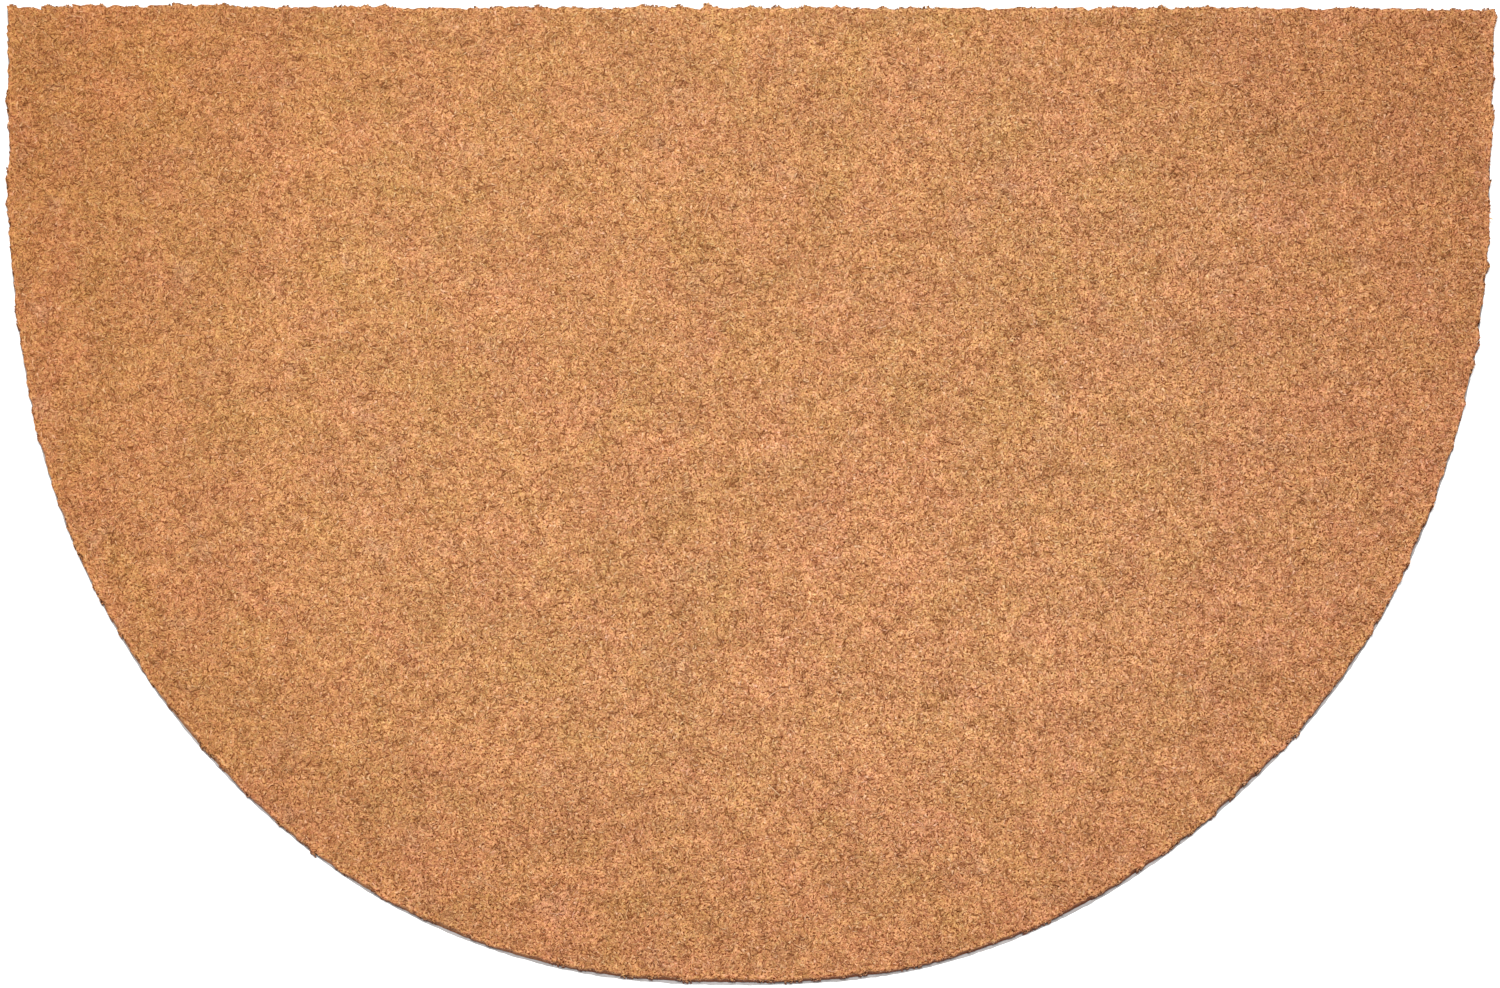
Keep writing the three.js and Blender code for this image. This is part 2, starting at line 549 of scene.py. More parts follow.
def blend(tree, kind, share, first, second):
    """Two colours mixed."""
    node = add_node(tree, "ShaderNodeMix", {"data_type": "RGBA", "blend_type": kind})
    for key, value in ((0, share), (6, first), (7, second)):
        if isinstance(value, bpy.types.NodeSocket):
            tree.links.new(value, node.inputs[key])
        elif key == 0:
            node.inputs[key].default_value = value
        else:
            node.inputs[key].default_value = (*value, 1)
    return node.outputs[2]


def noise(tree, vector, size, detail=2.0, roughness=0.5, distortion=0.0):
    """A noise from 0 to 1 whose blotches are about this wide, in metres."""
    inputs = {
        "Vector": vector,
        "Scale": 1 / size,
        "Detail": detail,
        "Roughness": roughness,
        "Distortion": distortion,
    }
    return add_node(tree, "ShaderNodeTexNoise", {}, inputs).outputs["Fac"]


def spread(tree, value, low, high, to_low, to_high):
    """A value carried from one range to another, and held there."""
    inputs = {0: value, 1: low, 2: high, 3: to_low, 4: to_high}
    return add_node(tree, "ShaderNodeMapRange", {}, inputs).outputs[0]


def stretched(tree, vector, scale, turn=0.0):
    """A vector stretched along its axes, then turned."""
    inputs = {"Vector": vector, "Scale": scale, "Rotation": (0, 0, turn)}
    return add_node(tree, "ShaderNodeMapping", {}, inputs).outputs[0]


def read_attribute(tree, name):
    """A value that is stored on a piece's points."""
    node = add_node(tree, "ShaderNodeAttribute", {"attribute_name": name})
    return node.outputs["Fac"]


def tone_colour(group, tone, colours):
    """A fibre's own colour, from its tone."""
    ramp = add_node(group, "ShaderNodeValToRGB", {}, {0: tone})
    stops = (
        (0.0, colours.fibre_dark),
        (0.38, colours.fibre_middle),
        (0.82, colours.fibre_light),
        (1.0, colours.fibre_pale),
    )
    while len(ramp.color_ramp.elements) < len(stops):
        ramp.color_ramp.elements.new(0.5)
    for element, (place, colour) in zip(ramp.color_ramp.elements, stops):
        element.position = place
        element.color = (*colour, 1)
    return ramp.outputs["Color"]


def patch_tint(group, vector):
    """Greener and rosier patches and specks."""
    patch = noise(group, vector, PATCH_SIZE, detail=3, roughness=0.6, distortion=0.6)
    speck = noise(group, vector, SPECK_SIZE, detail=2, roughness=0.7)
    mixed = maths(group, "MULTIPLY_ADD", patch, 0.55, maths(group, "MULTIPLY", speck, 0.9))
    rosy = spread(group, mixed, 0.5, 1.0, 0, 1)
    return blend(group, "MIX", rosy, GREENER, ROSIER)


def towards_front_right(group, vector):
    """How far a place lies from the mat's middle towards its front right, in metres."""
    place = add_node(group, "ShaderNodeSeparateXYZ", {}, {0: vector})
    forwards = maths(group, "MULTIPLY", place.outputs[1], -0.6)
    return maths(group, "MULTIPLY_ADD", place.outputs[0], 0.8, forwards)


def rim_painted_shade(group, vector):
    """Painted shade, darker and redder, outside an oval that reaches near the sides and the front,
    like light falling off away from the middle.
    """
    scale = (1 / OVAL_RADII[0], 1 / OVAL_RADII[1], 0)
    inputs = {"Vector": vector, "Location": (0, -OVAL_BACK, 0), "Scale": scale}
    oval = add_node(group, "ShaderNodeMapping", {}, inputs)
    away = add_node(
        group, "ShaderNodeVectorMath", {"operation": "LENGTH"}, {0: oval.outputs[0]}
    )
    rim_shade_share = spread(group, away.outputs["Value"], 0.65, 1.2, 0, 1)
    return blend(group, "MIX", rim_shade_share, (1, 1, 1), PAINTED_RIM_SHADE)


def faded(group, vector, colour):
    """The colour, a little greyer in patches."""
    patch = noise(group, stretched(group, vector, (1, 1, 1), 0.7), FADED_SIZE, detail=2)
    inputs = {"Color": colour, "Saturation": spread(group, patch, 0.6, 0.8, 1.0, 0.93)}
    return add_node(group, "ShaderNodeHueSaturation", {}, inputs).outputs[0]


def unevenly_bright(group, vector, colour):
    """The colour, lighter and darker in broad patches and in faint rows across the mat."""
    broad = noise(group, vector, BROAD_SIZE, detail=1)
    rows = noise(group, stretched(group, vector, (0.1, 1, 1)), ROW_SIZE, detail=2)
    light = spread(group, maths(group, "ADD", broad, rows), 0.7, 1.3, 0.985, 1.095)
    inputs = {0: colour, "Scale": light}
    return add_node(group, "ShaderNodeVectorMath", {"operation": "SCALE"}, inputs).outputs[0]


def coir_colour_group(colours):
    """Coir's colour from a fibre's tone, its place on the mat and how far it is lit."""
    group = bpy.data.node_groups.new("coir colour", "ShaderNodeTree")
    face = group.interface
    face.new_socket("Vector", in_out="INPUT", socket_type="NodeSocketVector")
    face.new_socket("Tone", in_out="INPUT", socket_type="NodeSocketFloat")
    face.new_socket("Shade", in_out="INPUT", socket_type="NodeSocketFloat")
    face.new_socket("Color", in_out="OUTPUT", socket_type="NodeSocketColor")
    given = group.nodes.new("NodeGroupInput")
    vector = given.outputs["Vector"]
    colour = tone_colour(group, given.outputs["Tone"], colours)
    colour = blend(group, "MULTIPLY", 1.0, colour, patch_tint(group, vector))
    across = towards_front_right(group, vector)
    side = blend(group, "MIX", spread(group, across, -0.5, 0.5, 0, 1), BACK_LEFT, FRONT_RIGHT)
    colour = blend(group, "MULTIPLY", 1.0, colour, side)
    colour = blend(group, "MULTIPLY", 1.0, colour, rim_painted_shade(group, vector))
    colour = unevenly_bright(group, vector, faded(group, vector, colour))
    # The painted shade in the hollows is deeper towards the front right and fainter towards the
    # back left.
    hollow_shade_strength = spread(group, across, -0.45, 0.15, 0.68, 1.12)
    hollow = maths(group, "SUBTRACT", given.outputs["Shade"], 1.0)
    lit = maths(group, "MULTIPLY_ADD", hollow, hollow_shade_strength, 1.0)
    shade = blend(group, "MIX", lit, IN_SHADE, (1, 1, 1))
    shaded = blend(group, "MULTIPLY", 1.0, colour, shade)
    out = group.nodes.new("NodeGroupOutput")
    group.links.new(shaded, out.inputs["Color"])
    return group


def new_material(name):
    """A material with a bare Principled shader, and that shader."""
    material = bpy.data.materials.new(name)
    material.use_nodes = True
    tree = material.node_tree
    shader = tree.nodes["Principled BSDF"]
    return material, tree, shader


def object_vector(tree):
    """The place of a point on the mat, in metres."""
    return tree.nodes.new("ShaderNodeTexCoord").outputs["Object"]


def coir_fibre_material():
    """Single cut fibres: each has its own tone, and painted shade darkens it towards its root."""
    material, tree, shader = new_material("coir fibres")
    # Painted shade: a fibre darkens towards its root, and a long stem at the cut edge over its
    # whole lower part; each tuft is also a little darker at random
    along = spread(tree, read_attribute(tree, "along"), -0.25, 1, 0, 1.0)
    tuft = spread(tree, read_attribute(tree, "tuft_tone"), 0, 1, 0.95, 1.0)
    colour = add_node(
        tree,
        "ShaderNodeGroup",
        {"node_tree": bpy.data.node_groups["coir colour"]},
        {
            "Vector": object_vector(tree),
            "Tone": read_attribute(tree, "tone"),
            "Shade": maths(tree, "MULTIPLY", along, tuft),
        },
    )
    tree.links.new(colour.outputs["Color"], shader.inputs["Base Color"])
    shader.inputs["Roughness"].default_value = 0.78
    shader.inputs["Specular IOR Level"].default_value = 0.12
    return material


def pile_body_material():
    """The packed fibres under the tips: small locks that each lie their own way, with painted shade
    in pits, in low places and down the side.
    """
    material, tree, shader = new_material("packed coir")
    vector = object_vector(tree)
    waver = add_node(tree, "ShaderNodeTexNoise", {}, {"Vector": vector, "Scale": 1 / WAVER_SIZE})
    shift = add_node(
        tree,
        "ShaderNodeVectorMath",
        {"operation": "MULTIPLY_ADD"},
        {0: waver.outputs["Color"], 1: (WAVER_REACH, WAVER_REACH, 0), 2: vector},
    )
    lock = add_node(
        tree,
        "ShaderNodeTexVoronoi",
        {"voronoi_dimensions": "2D"},
        {"Vector": shift.outputs[0], "Scale": 1 / LOCK_SIZE},
    )
    own = add_node(tree, "ShaderNodeSeparateColor", {}, {0: lock.outputs["Color"]})
    angle = maths(tree, "MULTIPLY", own.outputs[0], 2 * math.pi)
    turned = add_node(
        tree,
        "ShaderNodeVectorRotate",
        {"rotation_type": "Z_AXIS"},
        {"Vector": vector, "Angle": angle},
    )
    lie = stretched(tree, turned.outputs[0], (1, 0.22, 1))
    strands = noise(tree, lie, STRAND_SIZE, 2, 0.6, 0.3)
    lock_tone = spread(tree, own.outputs[1], 0, 1, -0.06, 0.06)
    tone = maths(tree, "ADD", spread(tree, strands, 0.36, 0.66, 0.05, 0.85), lock_tone)
    # Painted shade in small dark pits between the locks
    pit_shade = spread(tree, noise(tree, vector, PIT_SHADE_SIZE, 2, 0.6), 0.38, 0.47, 0.0, 1.0)
    # Painted shade: darker down the side and in the low places of the top, as much as the stored
    # depth says
    depth = spread(tree, read_attribute(tree, "depth"), 0, 1, 1.0, 0.12)
    colour = add_node(
        tree,
        "ShaderNodeGroup",
        {"node_tree": bpy.data.node_groups["coir colour"]},
        {"Vector": vector, "Tone": tone, "Shade": maths(tree, "MULTIPLY", depth, pit_shade)},
    )
    tree.links.new(colour.outputs["Color"], shader.inputs["Base Color"])
    relief = {"Height": strands, "Distance": 0.6 * MM, "Strength": 0.7}
    bump = add_node(tree, "ShaderNodeBump", {}, relief)
    tree.links.new(bump.outputs[0], shader.inputs["Normal"])
    shader.inputs["Roughness"].default_value = 0.85
    shader.inputs["Specular IOR Level"].default_value = 0.1
    return material


def backing_material(colours):
    """Matt flexible sheet with a fine grain and coir dust pressed into it."""
    material, tree, shader = new_material("backing sheet")
    vector = object_vector(tree)
    grain = noise(tree, vector, GRAIN_SIZE, detail=3, roughness=0.65)
    cloud = noise(tree, vector, CLOUD_SIZE, detail=4, roughness=0.6)
    light = spread(tree, cloud, 0.3, 0.7, 0.86, 1.12)
    base = add_node(
        tree,
        "ShaderNodeVectorMath",
        {"operation": "SCALE"},
        {0: tuple(colours.backing), "Scale": light},
    )
    dust = spread(tree, noise(tree, vector, DUST_SIZE, detail=4, roughness=0.7), 0.6, 0.7, 0, 0.5)
    colour = blend(tree, "MIX", dust, base.outputs[0], tuple(colours.fibre_dark))
    tree.links.new(colour, shader.inputs["Base Color"])
    relief = {"Height": grain, "Distance": 0.15 * MM, "Strength": 0.5}
    bump = add_node(tree, "ShaderNodeBump", {}, relief)
    tree.links.new(bump.outputs[0], shader.inputs["Normal"])
    roughness = spread(tree, grain, 0.3, 0.7, 0.55, 0.8)
    tree.links.new(roughness, shader.inputs["Roughness"])
    return material


def tuft_tree():
    """Geometry Nodes that stand a tuft on every site."""
    tree = bpy.data.node_groups.new("tufts on sites", "GeometryNodeTree")
    face = tree.interface
    face.new_socket("Geometry", in_out="OUTPUT", socket_type="NodeSocketGeometry")
    for name, kind in (
        ("Geometry", "NodeSocketGeometry"),
        ("Kinds", "NodeSocketCollection"),
        ("Lean", "NodeSocketFloat"),
        ("Turn", "NodeSocketFloat"),
        ("Smallest", "NodeSocketFloat"),
        ("Largest", "NodeSocketFloat"),
        ("Seed", "NodeSocketInt"),
        ("Finish", "NodeSocketMaterial"),
    ):
        face.new_socket(name, in_out="INPUT", socket_type=kind)
    given = tree.nodes.new("NodeGroupInput").outputs
    seed = given["Seed"]
    pick = add_node(
        tree, "FunctionNodeRandomValue", {"data_type": "INT"}, {4: 0, 5: TUFT_KINDS - 1, 8: seed}
    )
    lean_low = maths(tree, "MULTIPLY", given["Lean"], -1.0)
    turn_low = maths(tree, "MULTIPLY", given["Turn"], -1.0)
    low = add_node(tree, "ShaderNodeCombineXYZ", {}, {0: lean_low, 1: lean_low, 2: turn_low})
    most = {0: given["Lean"], 1: given["Lean"], 2: given["Turn"]}
    high = add_node(tree, "ShaderNodeCombineXYZ", {}, most)
    turn_seed = maths(tree, "ADD", seed, 1.0)
    turned = add_node(
        tree,
        "FunctionNodeRandomValue",
        {"data_type": "FLOAT_VECTOR"},
        {0: low.outputs[0], 1: high.outputs[0], 8: turn_seed},
    )
    facing = add_node(
        tree, "GeometryNodeInputNamedAttribute", {"data_type": "FLOAT"}, {0: "facing"}
    )
    outward = add_node(tree, "ShaderNodeCombineXYZ", {}, {2: facing.outputs[0]})
    euler = add_node(
        tree,
        "ShaderNodeVectorMath",
        {"operation": "ADD"},
        {0: turned.outputs[0], 1: outward.outputs[0]},
    )
    rotation = add_node(tree, "FunctionNodeEulerToRotation", {}, {0: euler.outputs[0]})
    size_seed = maths(tree, "ADD", seed, 2.0)
    size = add_node(
        tree,
        "FunctionNodeRandomValue",
        {"data_type": "FLOAT"},
        {2: given["Smallest"], 3: given["Largest"], 8: size_seed},
    )
    tufts = add_node(
        tree,
        "GeometryNodeCollectionInfo",
        {},
        {"Collection": given["Kinds"], "Separate Children": True, "Reset Children": True},
    )
    stood = add_node(
        tree,
        "GeometryNodeInstanceOnPoints",
        {},
        {
            "Points": given["Geometry"],
            "Instance": tufts.outputs[0],
            "Pick Instance": True,
            "Instance Index": pick.outputs[2],
            "Rotation": rotation.outputs[0],
            "Scale": size.outputs[1],
        },
    )
    tone_seed = maths(tree, "ADD", seed, 3.0)
    tone = add_node(
        tree, "FunctionNodeRandomValue", {"data_type": "FLOAT"}, {2: 0.0, 3: 1.0, 8: tone_seed}
    )
    toned = add_node(
        tree,
        "GeometryNodeStoreNamedAttribute",
        {"data_type": "FLOAT", "domain": "INSTANCE"},
        {"Geometry": stood.outputs[0], "Name": "tuft_tone", "Value": tone.outputs[1]},
    )
    real = add_node(tree, "GeometryNodeRealizeInstances", {}, {"Geometry": toned.outputs[0]})
    finished = add_node(
        tree,
        "GeometryNodeSetMaterial",
        {},
        {"Geometry": real.outputs[0], "Material": given["Finish"]},
    )
    out = tree.nodes.new("NodeGroupOutput")
    tree.links.new(finished.outputs[0], out.inputs[0])
    return tree


def stand_tufts(name, sites, height, facing, settings):
    """Stand tufts on the sites with Geometry Nodes, and keep the plain mesh."""
    places = np.column_stack((sites, np.full(len(sites), height)))
    carrier_name = name + "_sites"
    carrier = add_piece(carrier_name, plain_mesh(carrier_name, places, [], {"facing": facing}))
    tree = tuft_tree()
    modifier = carrier.modifiers.new("tufts", "NODES")
    modifier.node_group = tree
    for item in tree.interface.items_tree:
        if item.in_out == "INPUT" and item.name in settings:
            modifier[item.identifier] = settings[item.name]
    evaluated = carrier.evaluated_get(bpy.context.evaluated_depsgraph_get())
    mesh = bpy.data.meshes.new_from_object(evaluated)
    mesh.name = name
    bpy.data.objects.remove(carrier)
    piece = add_piece(name, mesh)
    lay_out_fibres(mesh)
    finish_piece(piece, settings["Finish"])


def tuft_kinds(name, make_one, seed):
    """A collection of tufts to pick from, each made from its own random numbers."""
    kinds = bpy.data.collections.new(name)
    bpy.context.scene.collection.children.link(kinds)
    for number in range(TUFT_KINDS):
        made = make_one(np.random.default_rng((seed, number)))
        mesh = plain_mesh(f"{name}_{number:02d}", *made)
        kinds.objects.link(bpy.data.objects.new(mesh.name, mesh))
    return kinds


def top_fibres(rng, count, radius, stand, sizes):
    """The upper fibres of one tuft, which fan out from its root as they are seen from above."""
    where = rng.uniform(0, 2 * math.pi, count)
    out = rng.uniform(0, 1, count) ** 0.5 * radius
    roots = np.column_stack((out * np.cos(where), out * np.sin(where), np.zeros(count)))
    heading = rng.uniform(0, 2 * math.pi, count)
    lean = sizes.fibre_lean * rng.uniform(*LEANS, count)
    rise = stand * rng.uniform(*RISES, count)
    step = np.column_stack((lean * np.cos(heading), lean * np.sin(heading), rise))
    widths = sizes.fibre_width * rng.uniform(*WIDTHS, count)
    return fibre_mesh_data(rng, roots, roots + step, widths, TUFT_TWIST, TUFT_ALONG)


def clump_edge(beside):
    """How far out a rounded clump at the rim reaches, this far beside its middle."""
    return EDGE_INSET - beside**2 / (2 * CLUMP_RADIUS)


def rim_fibres(rng, sizes):
    """The upper fibres of one tuft at the rim, none of which leans out past it."""
    count = EDGE_TOP_FIBRES
    stand = sizes.trim_height - TUFT_ROOT
    out = rng.uniform(*TOP_ROOTS, count) * EDGE_SPACING
    beside = rng.uniform(-0.5, 0.5, count) * EDGE_SPACING
    roots = np.column_stack((out, beside, np.full(count, TUFT_ROOT)))
    heading = rng.uniform(0, 2 * math.pi, count)
    lean = sizes.fibre_lean * rng.uniform(*LEANS, count)
    beside_tip = np.clip(beside + lean * np.sin(heading), -CLUMP_REACH, CLUMP_REACH)
    furthest = clump_edge(beside_tip) - rng.uniform(*TOP_TIP_INSET, count)
    tips = np.column_stack((
        np.minimum(out + lean * np.cos(heading), furthest),
        beside_tip,
        TUFT_ROOT + stand * rng.uniform(*RISES, count),
    ))
    widths = sizes.fibre_width * rng.uniform(*WIDTHS, count)
    return fibre_mesh_data(rng, roots, tips, widths, TUFT_TWIST, RIM_ALONG)


def stem_fibres(rng, sizes):
    """The long fibres of one tuft at the rim."""
    count = EDGE_LONG_FIBRES
    beside = rng.uniform(-0.5, 0.5, count) * EDGE_SPACING
    high = sizes.trim_height - rng.uniform(*STEM_TIP_DROP, count)
    root_out = EDGE_INSET - rng.uniform(*STEM_ROOT_INSET, count)
    tip_out = clump_edge(beside) - rng.uniform(*STEM_TIP_INSET, count)
    roots = np.column_stack((root_out, beside, np.full(count, STEM_ROOT)))
    tips = np.column_stack((tip_out, beside + rng.normal(0, STEM_STRAY, count), high))
    widths = sizes.fibre_width * rng.uniform(*STEM_WIDTHS, count)
    return fibre_mesh_data(rng, roots, tips, widths, EDGE_TWIST, STEM_ALONG)


def loose_strand(rng, place, trim_height):
    """The corners and tone of one loose fibre: a ring of corners at each step along it."""
    length = rng.uniform(*LOOSE_LENGTH)
    bend = rng.normal(0, LOOSE_BEND)
    heading = rng.uniform(0, 2 * math.pi)
    width = rng.uniform(*LOOSE_WIDTH)
    tone = rng.uniform(*LOOSE_TONE)
    share = np.linspace(0, 1, LOOSE_STEPS)
    angle = heading + bend * (share - 0.5)
    step = length / (LOOSE_STEPS - 1)
    path = np.column_stack((np.cumsum(np.cos(angle)), np.cumsum(np.sin(angle)))) * step
    path += place - path.mean(axis=0)
    top = trim_height - LOOSE_SUNK + LOOSE_ARCH * np.sin(math.pi * share)
    corners = []
    for i in range(LOOSE_STEPS):
        swell = LOOSE_TAPER + (1 - 2 * LOOSE_TAPER) * share[i]
        thin = width / 2 * math.sin(math.pi * swell) ** 0.5
        across = np.array((-math.sin(angle[i]), math.cos(angle[i])))
        for k in range(LOOSE_SIDES):
            around = 2 * math.pi * k / LOOSE_SIDES + math.pi / 2
            flat = path[i] + across * thin * math.cos(around)
            corners.append((*flat, top[i] + thin * math.sin(around)))
    return corners, tone


def strand_faces(start):
    """The faces of one loose fibre whose corners begin at this one, closed at both ends."""
    last = start + (LOOSE_STEPS - 1) * LOOSE_SIDES
    faces = []
    for near in range(start, last, LOOSE_SIDES):
        faces += wall(near, near + LOOSE_SIDES, LOOSE_SIDES)
    faces.append(tuple(range(start, start + LOOSE_SIDES))[::-1])
    faces.append(tuple(range(last, last + LOOSE_SIDES)))
    return faces


def joined(first, second):
    """Two lots of fibres as one."""
    vertices = np.concatenate((first[0], second[0]))
    faces = np.concatenate((first[1], second[1] + len(first[0])))
    attributes = {name: np.concatenate((first[2][name], second[2][name])) for name in first[2]}
    return vertices, faces, attributes


def remove_kinds(kinds):
    """Remove the tufts that were only made to be picked from."""
    for tuft in list(kinds.objects):
        bpy.data.objects.remove(tuft)
    bpy.data.collections.remove(kinds)


# Operators

class DOORMAT_OT_stage(bpy.types.Operator):
    """Set the camera, the pale floor and the soft light."""

    bl_idname = "doormat.stage"
    bl_label = "Stage"

    def execute(self, context):
        scene = context.scene
        data = bpy.data.cameras.new("camera")
        data.lens = CAMERA_LENS
        data.clip_end = CAMERA_FAR
        camera = bpy.data.objects.new("camera", data)
        back = Vector((0, -math.cos(CAMERA_ELEVATION), math.sin(CAMERA_ELEVATION)))
        camera.location = CAMERA_AIM + back * CAMERA_DISTANCE
        camera.rotation_mode = "QUATERNION"
        camera.rotation_quaternion = (-back).to_track_quat("-Z", "Y")
        scene.collection.objects.link(camera)
        scene.camera = camera

        material, tree, shader = new_material("studio floor")
        shader.inputs["Base Color"].default_value = (*scene.doormat_colours.floor, 1)
        shader.inputs["Roughness"].default_value = 0.9
        shader.inputs["Specular IOR Level"].default_value = 0.1
        ways = ((-1, -1), (1, -1), (1, 1), (-1, 1))
        square = [(FLOOR_REACH * x, FLOOR_REACH * y, 0) for x, y in ways]
        mesh = plain_mesh("studio_floor", square, [(0, 1, 2, 3)], {})
        floor = add_piece("studio_floor", mesh)
        floor.data.materials.append(material)

        light = bpy.data.lights.new("soft key", "AREA")
        light.shape = "SQUARE"
        light.size = LIGHT_SIZE
        light.energy = LIGHT_POWER
        key = bpy.data.objects.new("soft key", light)
        key.location = LIGHT_PLACE
        key.rotation_mode = "QUATERNION"
        key.rotation_quaternion = (-LIGHT_PLACE).to_track_quat("-Z", "Y")
        key.visible_camera = False
        scene.collection.objects.link(key)

        world = bpy.data.worlds.new("studio air")
        world.use_nodes = True
        sky = world.node_tree.nodes["Background"]
        sky.inputs["Color"].default_value = (1, 1, 1, 1)
        sky.inputs["Strength"].default_value = SKY_STRENGTH
        scene.world = world
        scene.view_settings.view_transform = "Standard"
        return {"FINISHED"}


class DOORMAT_OT_backing(bpy.types.Operator):
    """Make the backing sheet, with its slightly uneven cut edge."""

    bl_idname = "doormat.backing"
    bl_label = "Backing sheet"

    def execute(self, context):
        outline = Outline()
        rng = np.random.default_rng(SEED_BACKING)
        count = outline.count // 2
        uneven = np.repeat(rng.uniform(0, BACKING_WANDER, count), 2)
        uneven = np.append(uneven, uneven[:outline.count - 2 * count])
        thickness = backing_high.z
        rings = []
        for height, inset in (
            (0, BACKING_CORNER),
            (BACKING_CORNER, 0),
            (thickness - BACKING_CORNER, 0),
            (thickness, BACKING_CORNER),
        ):
            ring = outline.ring(outline.overhang + uneven + inset, bumps=0.0)[::2][:count]
            rings.append(np.column_stack((ring, np.full(count, height))))
        vertices = np.concatenate(rings)
        faces = [tuple(range(count))[::-1]]
        for level in range(len(rings) - 1):
            faces += wall(level * count, (level + 1) * count, count)
        faces.append(tuple(range(len(vertices) - count, len(vertices))))
        sheet = add_piece("backing_sheet", plain_mesh("backing_sheet", vertices, faces, {}))
        finish_piece(sheet, backing_material(context.scene.doormat_colours))
        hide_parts("backing")
        return {"FINISHED"}


class DOORMAT_OT_pile_body(bpy.types.Operator):
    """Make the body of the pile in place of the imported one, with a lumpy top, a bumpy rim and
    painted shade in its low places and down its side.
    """

    bl_idname = "doormat.pile_body"
    bl_label = "Pile body"

    def execute(self, context):
        coir_colour_group(context.scene.doormat_colours)
        outline = Outline()
        rng = np.random.default_rng(SEED_BODY)
        count = outline.count
        rings = []
        for row in BODY_SIDE:
            ring = outline.ring(row["inset"], row["bumps"])
            rings.append(np.column_stack((ring, np.full(count, row["height"]))))
        shoulder = rings[0][:, :2]

        inner_inset = BODY_SIDE[0]["inset"] + BODY_INNER_INSET
        inner = uneven_grid(outline, BODY_SPACING, inner_inset, SEED_BODY)
        flat = np.concatenate((shoulder, inner))
        loop = [(i, (i + 1) % count) for i in range(count)]
        points = [Vector(p) for p in flat]
        made = delaunay_2d_cdt(points, loop, [], 0, 1e-7, False)
        if len(made[0]) != len(flat):
            raise RuntimeError("the pile body's points moved when they were joined up")
        lift = rng.uniform(-1, 1, len(inner))
        height = np.concatenate((rings[0][:, 2], BODY_TOP + BODY_UNEVEN * lift))
        # The painted shade on the side is strongest where the pile is set back, and weaker
        # elsewhere.
        shaded = SIDE_DEPTH + (1 - SIDE_DEPTH) * outline.set_back
        sides = np.concatenate([row["depth"] * shaded for row in BODY_SIDE])
        depth = np.concatenate((sides[:count], TOP_DEPTH * (1 - lift) / 2, sides[count:]))
        top = np.column_stack((flat, height))
        below = np.concatenate(rings[1:])
        vertices = np.concatenate((top, below))
        faces = [tuple(face) for face in made[2] if inside_rim(face, count)]
        starts = [0] + [len(top) + level * count for level in range(len(rings) - 1)]
        for upper, lower in zip(starts, starts[1:]):
            faces += wall(lower, upper, count)
        faces.append(tuple(range(starts[-1], starts[-1] + count))[::-1])
        mesh = plain_mesh("pile_body", vertices, faces, {"depth": depth})
        body = add_piece("pile_body", mesh)
        finish_piece(body, pile_body_material())
        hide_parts("pile")
        return {"FINISHED"}


class DOORMAT_OT_tufts(bpy.types.Operator):
    """Stand the cut tufts on the pile, in bands from the back to the front."""

    bl_idname = "doormat.tufts"
    bl_label = "Tufts"

    def execute(self, context):
        sizes = context.scene.doormat_sizes
        stand = sizes.trim_height - TUFT_ROOT

        def one_tuft(rng):
            count = sizes.fibres_per_tuft
            return top_fibres(rng, count, sizes.tuft_spacing * TUFT_RADIUS, stand, sizes)

        outline = Outline()
        sites = uneven_grid(outline, sizes.tuft_spacing, TUFT_RIM_INSET, SEED_SITES)
        sites = sites[np.argsort(-sites[:, 1], kind="stable")]
        kinds = tuft_kinds("tuft", one_tuft, SEED_TUFTS)
        finish = coir_fibre_material()
        for number, band in enumerate(np.array_split(sites, len(TUFT_BANDS))):
            settings = {
                "Kinds": kinds,
                "Lean": sizes.tuft_turn,
                "Turn": math.pi,
                "Smallest": TUFT_SIZES[0],
                "Largest": TUFT_SIZES[1],
                "Seed": 10 * number + SEED_TUFTS,
                "Finish": finish,
            }
            name = "pile_tufts_" + TUFT_BANDS[number]
            stand_tufts(name, band, TUFT_ROOT, np.zeros(len(band)), settings)
        remove_kinds(kinds)
        return {"FINISHED"}


class DOORMAT_OT_edge_tufts(bpy.types.Operator):
    """Stand the tufts round the cut edge, from the backing up to the trimmed top."""

    bl_idname = "doormat.edge_tufts"
    bl_label = "Edge tufts"

    def execute(self, context):
        sizes = context.scene.doormat_sizes

        def one_tuft(rng):
            return joined(stem_fibres(rng, sizes), rim_fibres(rng, sizes))

        outline = Outline()
        first, facing = outline.sites(EDGE_INSET, EDGE_SPACING)
        behind, facing_behind = outline.sites(EDGE_SECOND_INSET, EDGE_SPACING, start=0.5)
        sites = np.concatenate((first, behind))
        facing = np.concatenate((facing, facing_behind))
        sites += np.random.default_rng(SEED_EDGE).uniform(-EDGE_UNEVEN, EDGE_UNEVEN, sites.shape)
        kinds = tuft_kinds("edge_tuft", one_tuft, SEED_EDGE)
        settings = {
            "Kinds": kinds,
            "Lean": EDGE_LEAN,
            "Turn": EDGE_TURN,
            "Smallest": EDGE_SIZES[0],
            "Largest": EDGE_SIZES[1],
            "Seed": SEED_EDGE,
            "Finish": bpy.data.materials["coir fibres"],
        }
        stand_tufts("pile_edge_tufts", sites, 0, facing, settings)
        remove_kinds(kinds)
        return {"FINISHED"}


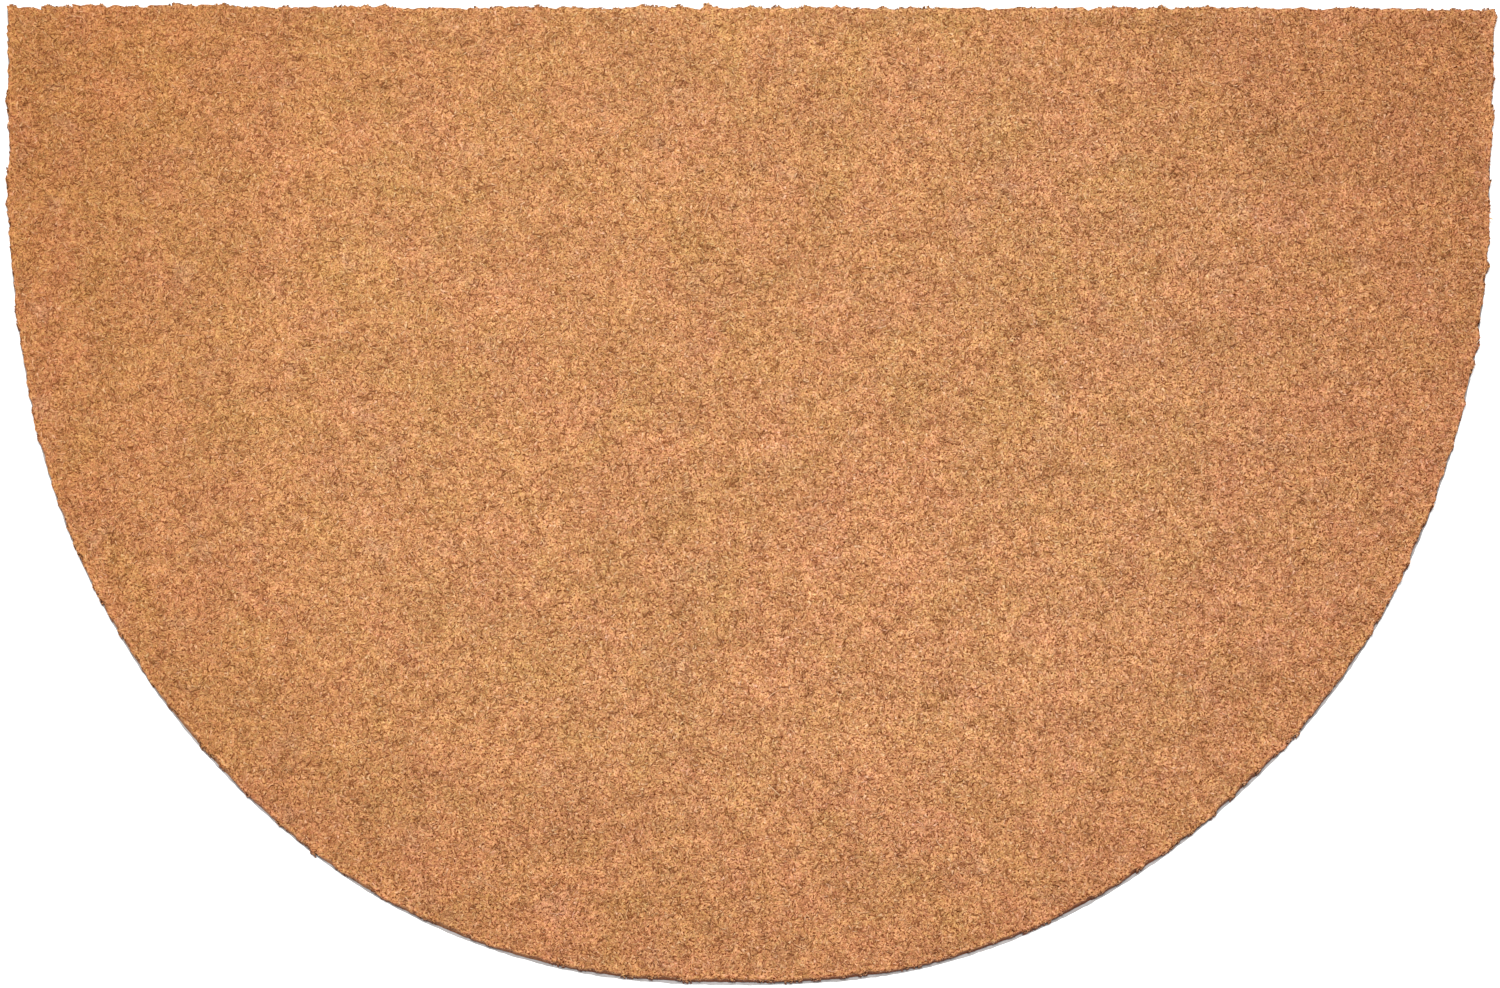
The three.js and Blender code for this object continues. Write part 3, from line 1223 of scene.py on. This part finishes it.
class DOORMAT_OT_loose_fibres(bpy.types.Operator):
    """Lay the few long pale fibres that have worked loose on top."""

    bl_idname = "doormat.loose_fibres"
    bl_label = "Loose fibres"

    def execute(self, context):
        sizes = context.scene.doormat_sizes
        rng = np.random.default_rng(SEED_LOOSE)
        outline = Outline()
        sites = uneven_grid(outline, sizes.tuft_spacing, LOOSE_RIM_INSET, SEED_LOOSE)
        chosen = sites[rng.choice(len(sites), sizes.loose_fibres, replace=False)]
        vertices = []
        faces = []
        tones = []
        for place in chosen:
            corners, tone = loose_strand(rng, place, sizes.trim_height)
            faces += strand_faces(len(vertices))
            vertices += corners
            tones += [tone] * len(corners)
        values = {
            "tone": tones,
            "along": np.ones(len(tones)),
            "tuft_tone": np.ones(len(tones)),
        }
        loose = add_piece("loose_fibres", plain_mesh("loose_fibres", vertices, faces, values))
        finish_piece(loose, bpy.data.materials["coir fibres"])
        return {"FINISHED"}


class DOORMAT_PT_panel(bpy.types.Panel):
    """Lists the doormat's pieces, sizes and colours."""

    bl_idname = "DOORMAT_PT_panel"
    bl_label = "Half round doormat"
    bl_space_type = "VIEW_3D"
    bl_region_type = "UI"
    bl_category = "Doormat"

    def draw(self, context):
        for group in (context.scene.doormat_sizes, context.scene.doormat_colours):
            for name in group.bl_rna.properties.keys():
                if name not in ("rna_type", "name"):
                    self.layout.prop(group, name)
        for operator in OPERATORS:
            self.layout.operator(operator.bl_idname)


OPERATORS = (
    DOORMAT_OT_stage,
    DOORMAT_OT_backing,
    DOORMAT_OT_pile_body,
    DOORMAT_OT_tufts,
    DOORMAT_OT_edge_tufts,
    DOORMAT_OT_loose_fibres,
)
CLASSES = (DoormatSizes, DoormatColours, *OPERATORS, DOORMAT_PT_panel)


def register():
    for each in CLASSES:
        bpy.utils.register_class(each)
    bpy.types.Scene.doormat_sizes = bpy.props.PointerProperty(type=DoormatSizes)
    bpy.types.Scene.doormat_colours = bpy.props.PointerProperty(type=DoormatColours)


def unregister():
    del bpy.types.Scene.doormat_colours
    del bpy.types.Scene.doormat_sizes
    for each in reversed(CLASSES):
        bpy.utils.unregister_class(each)


def main():
    register()
    for operator in OPERATORS:
        name = operator.bl_idname.split(".")[1]
        getattr(bpy.ops.doormat, name)()


if __name__ == "__main__":
    main()
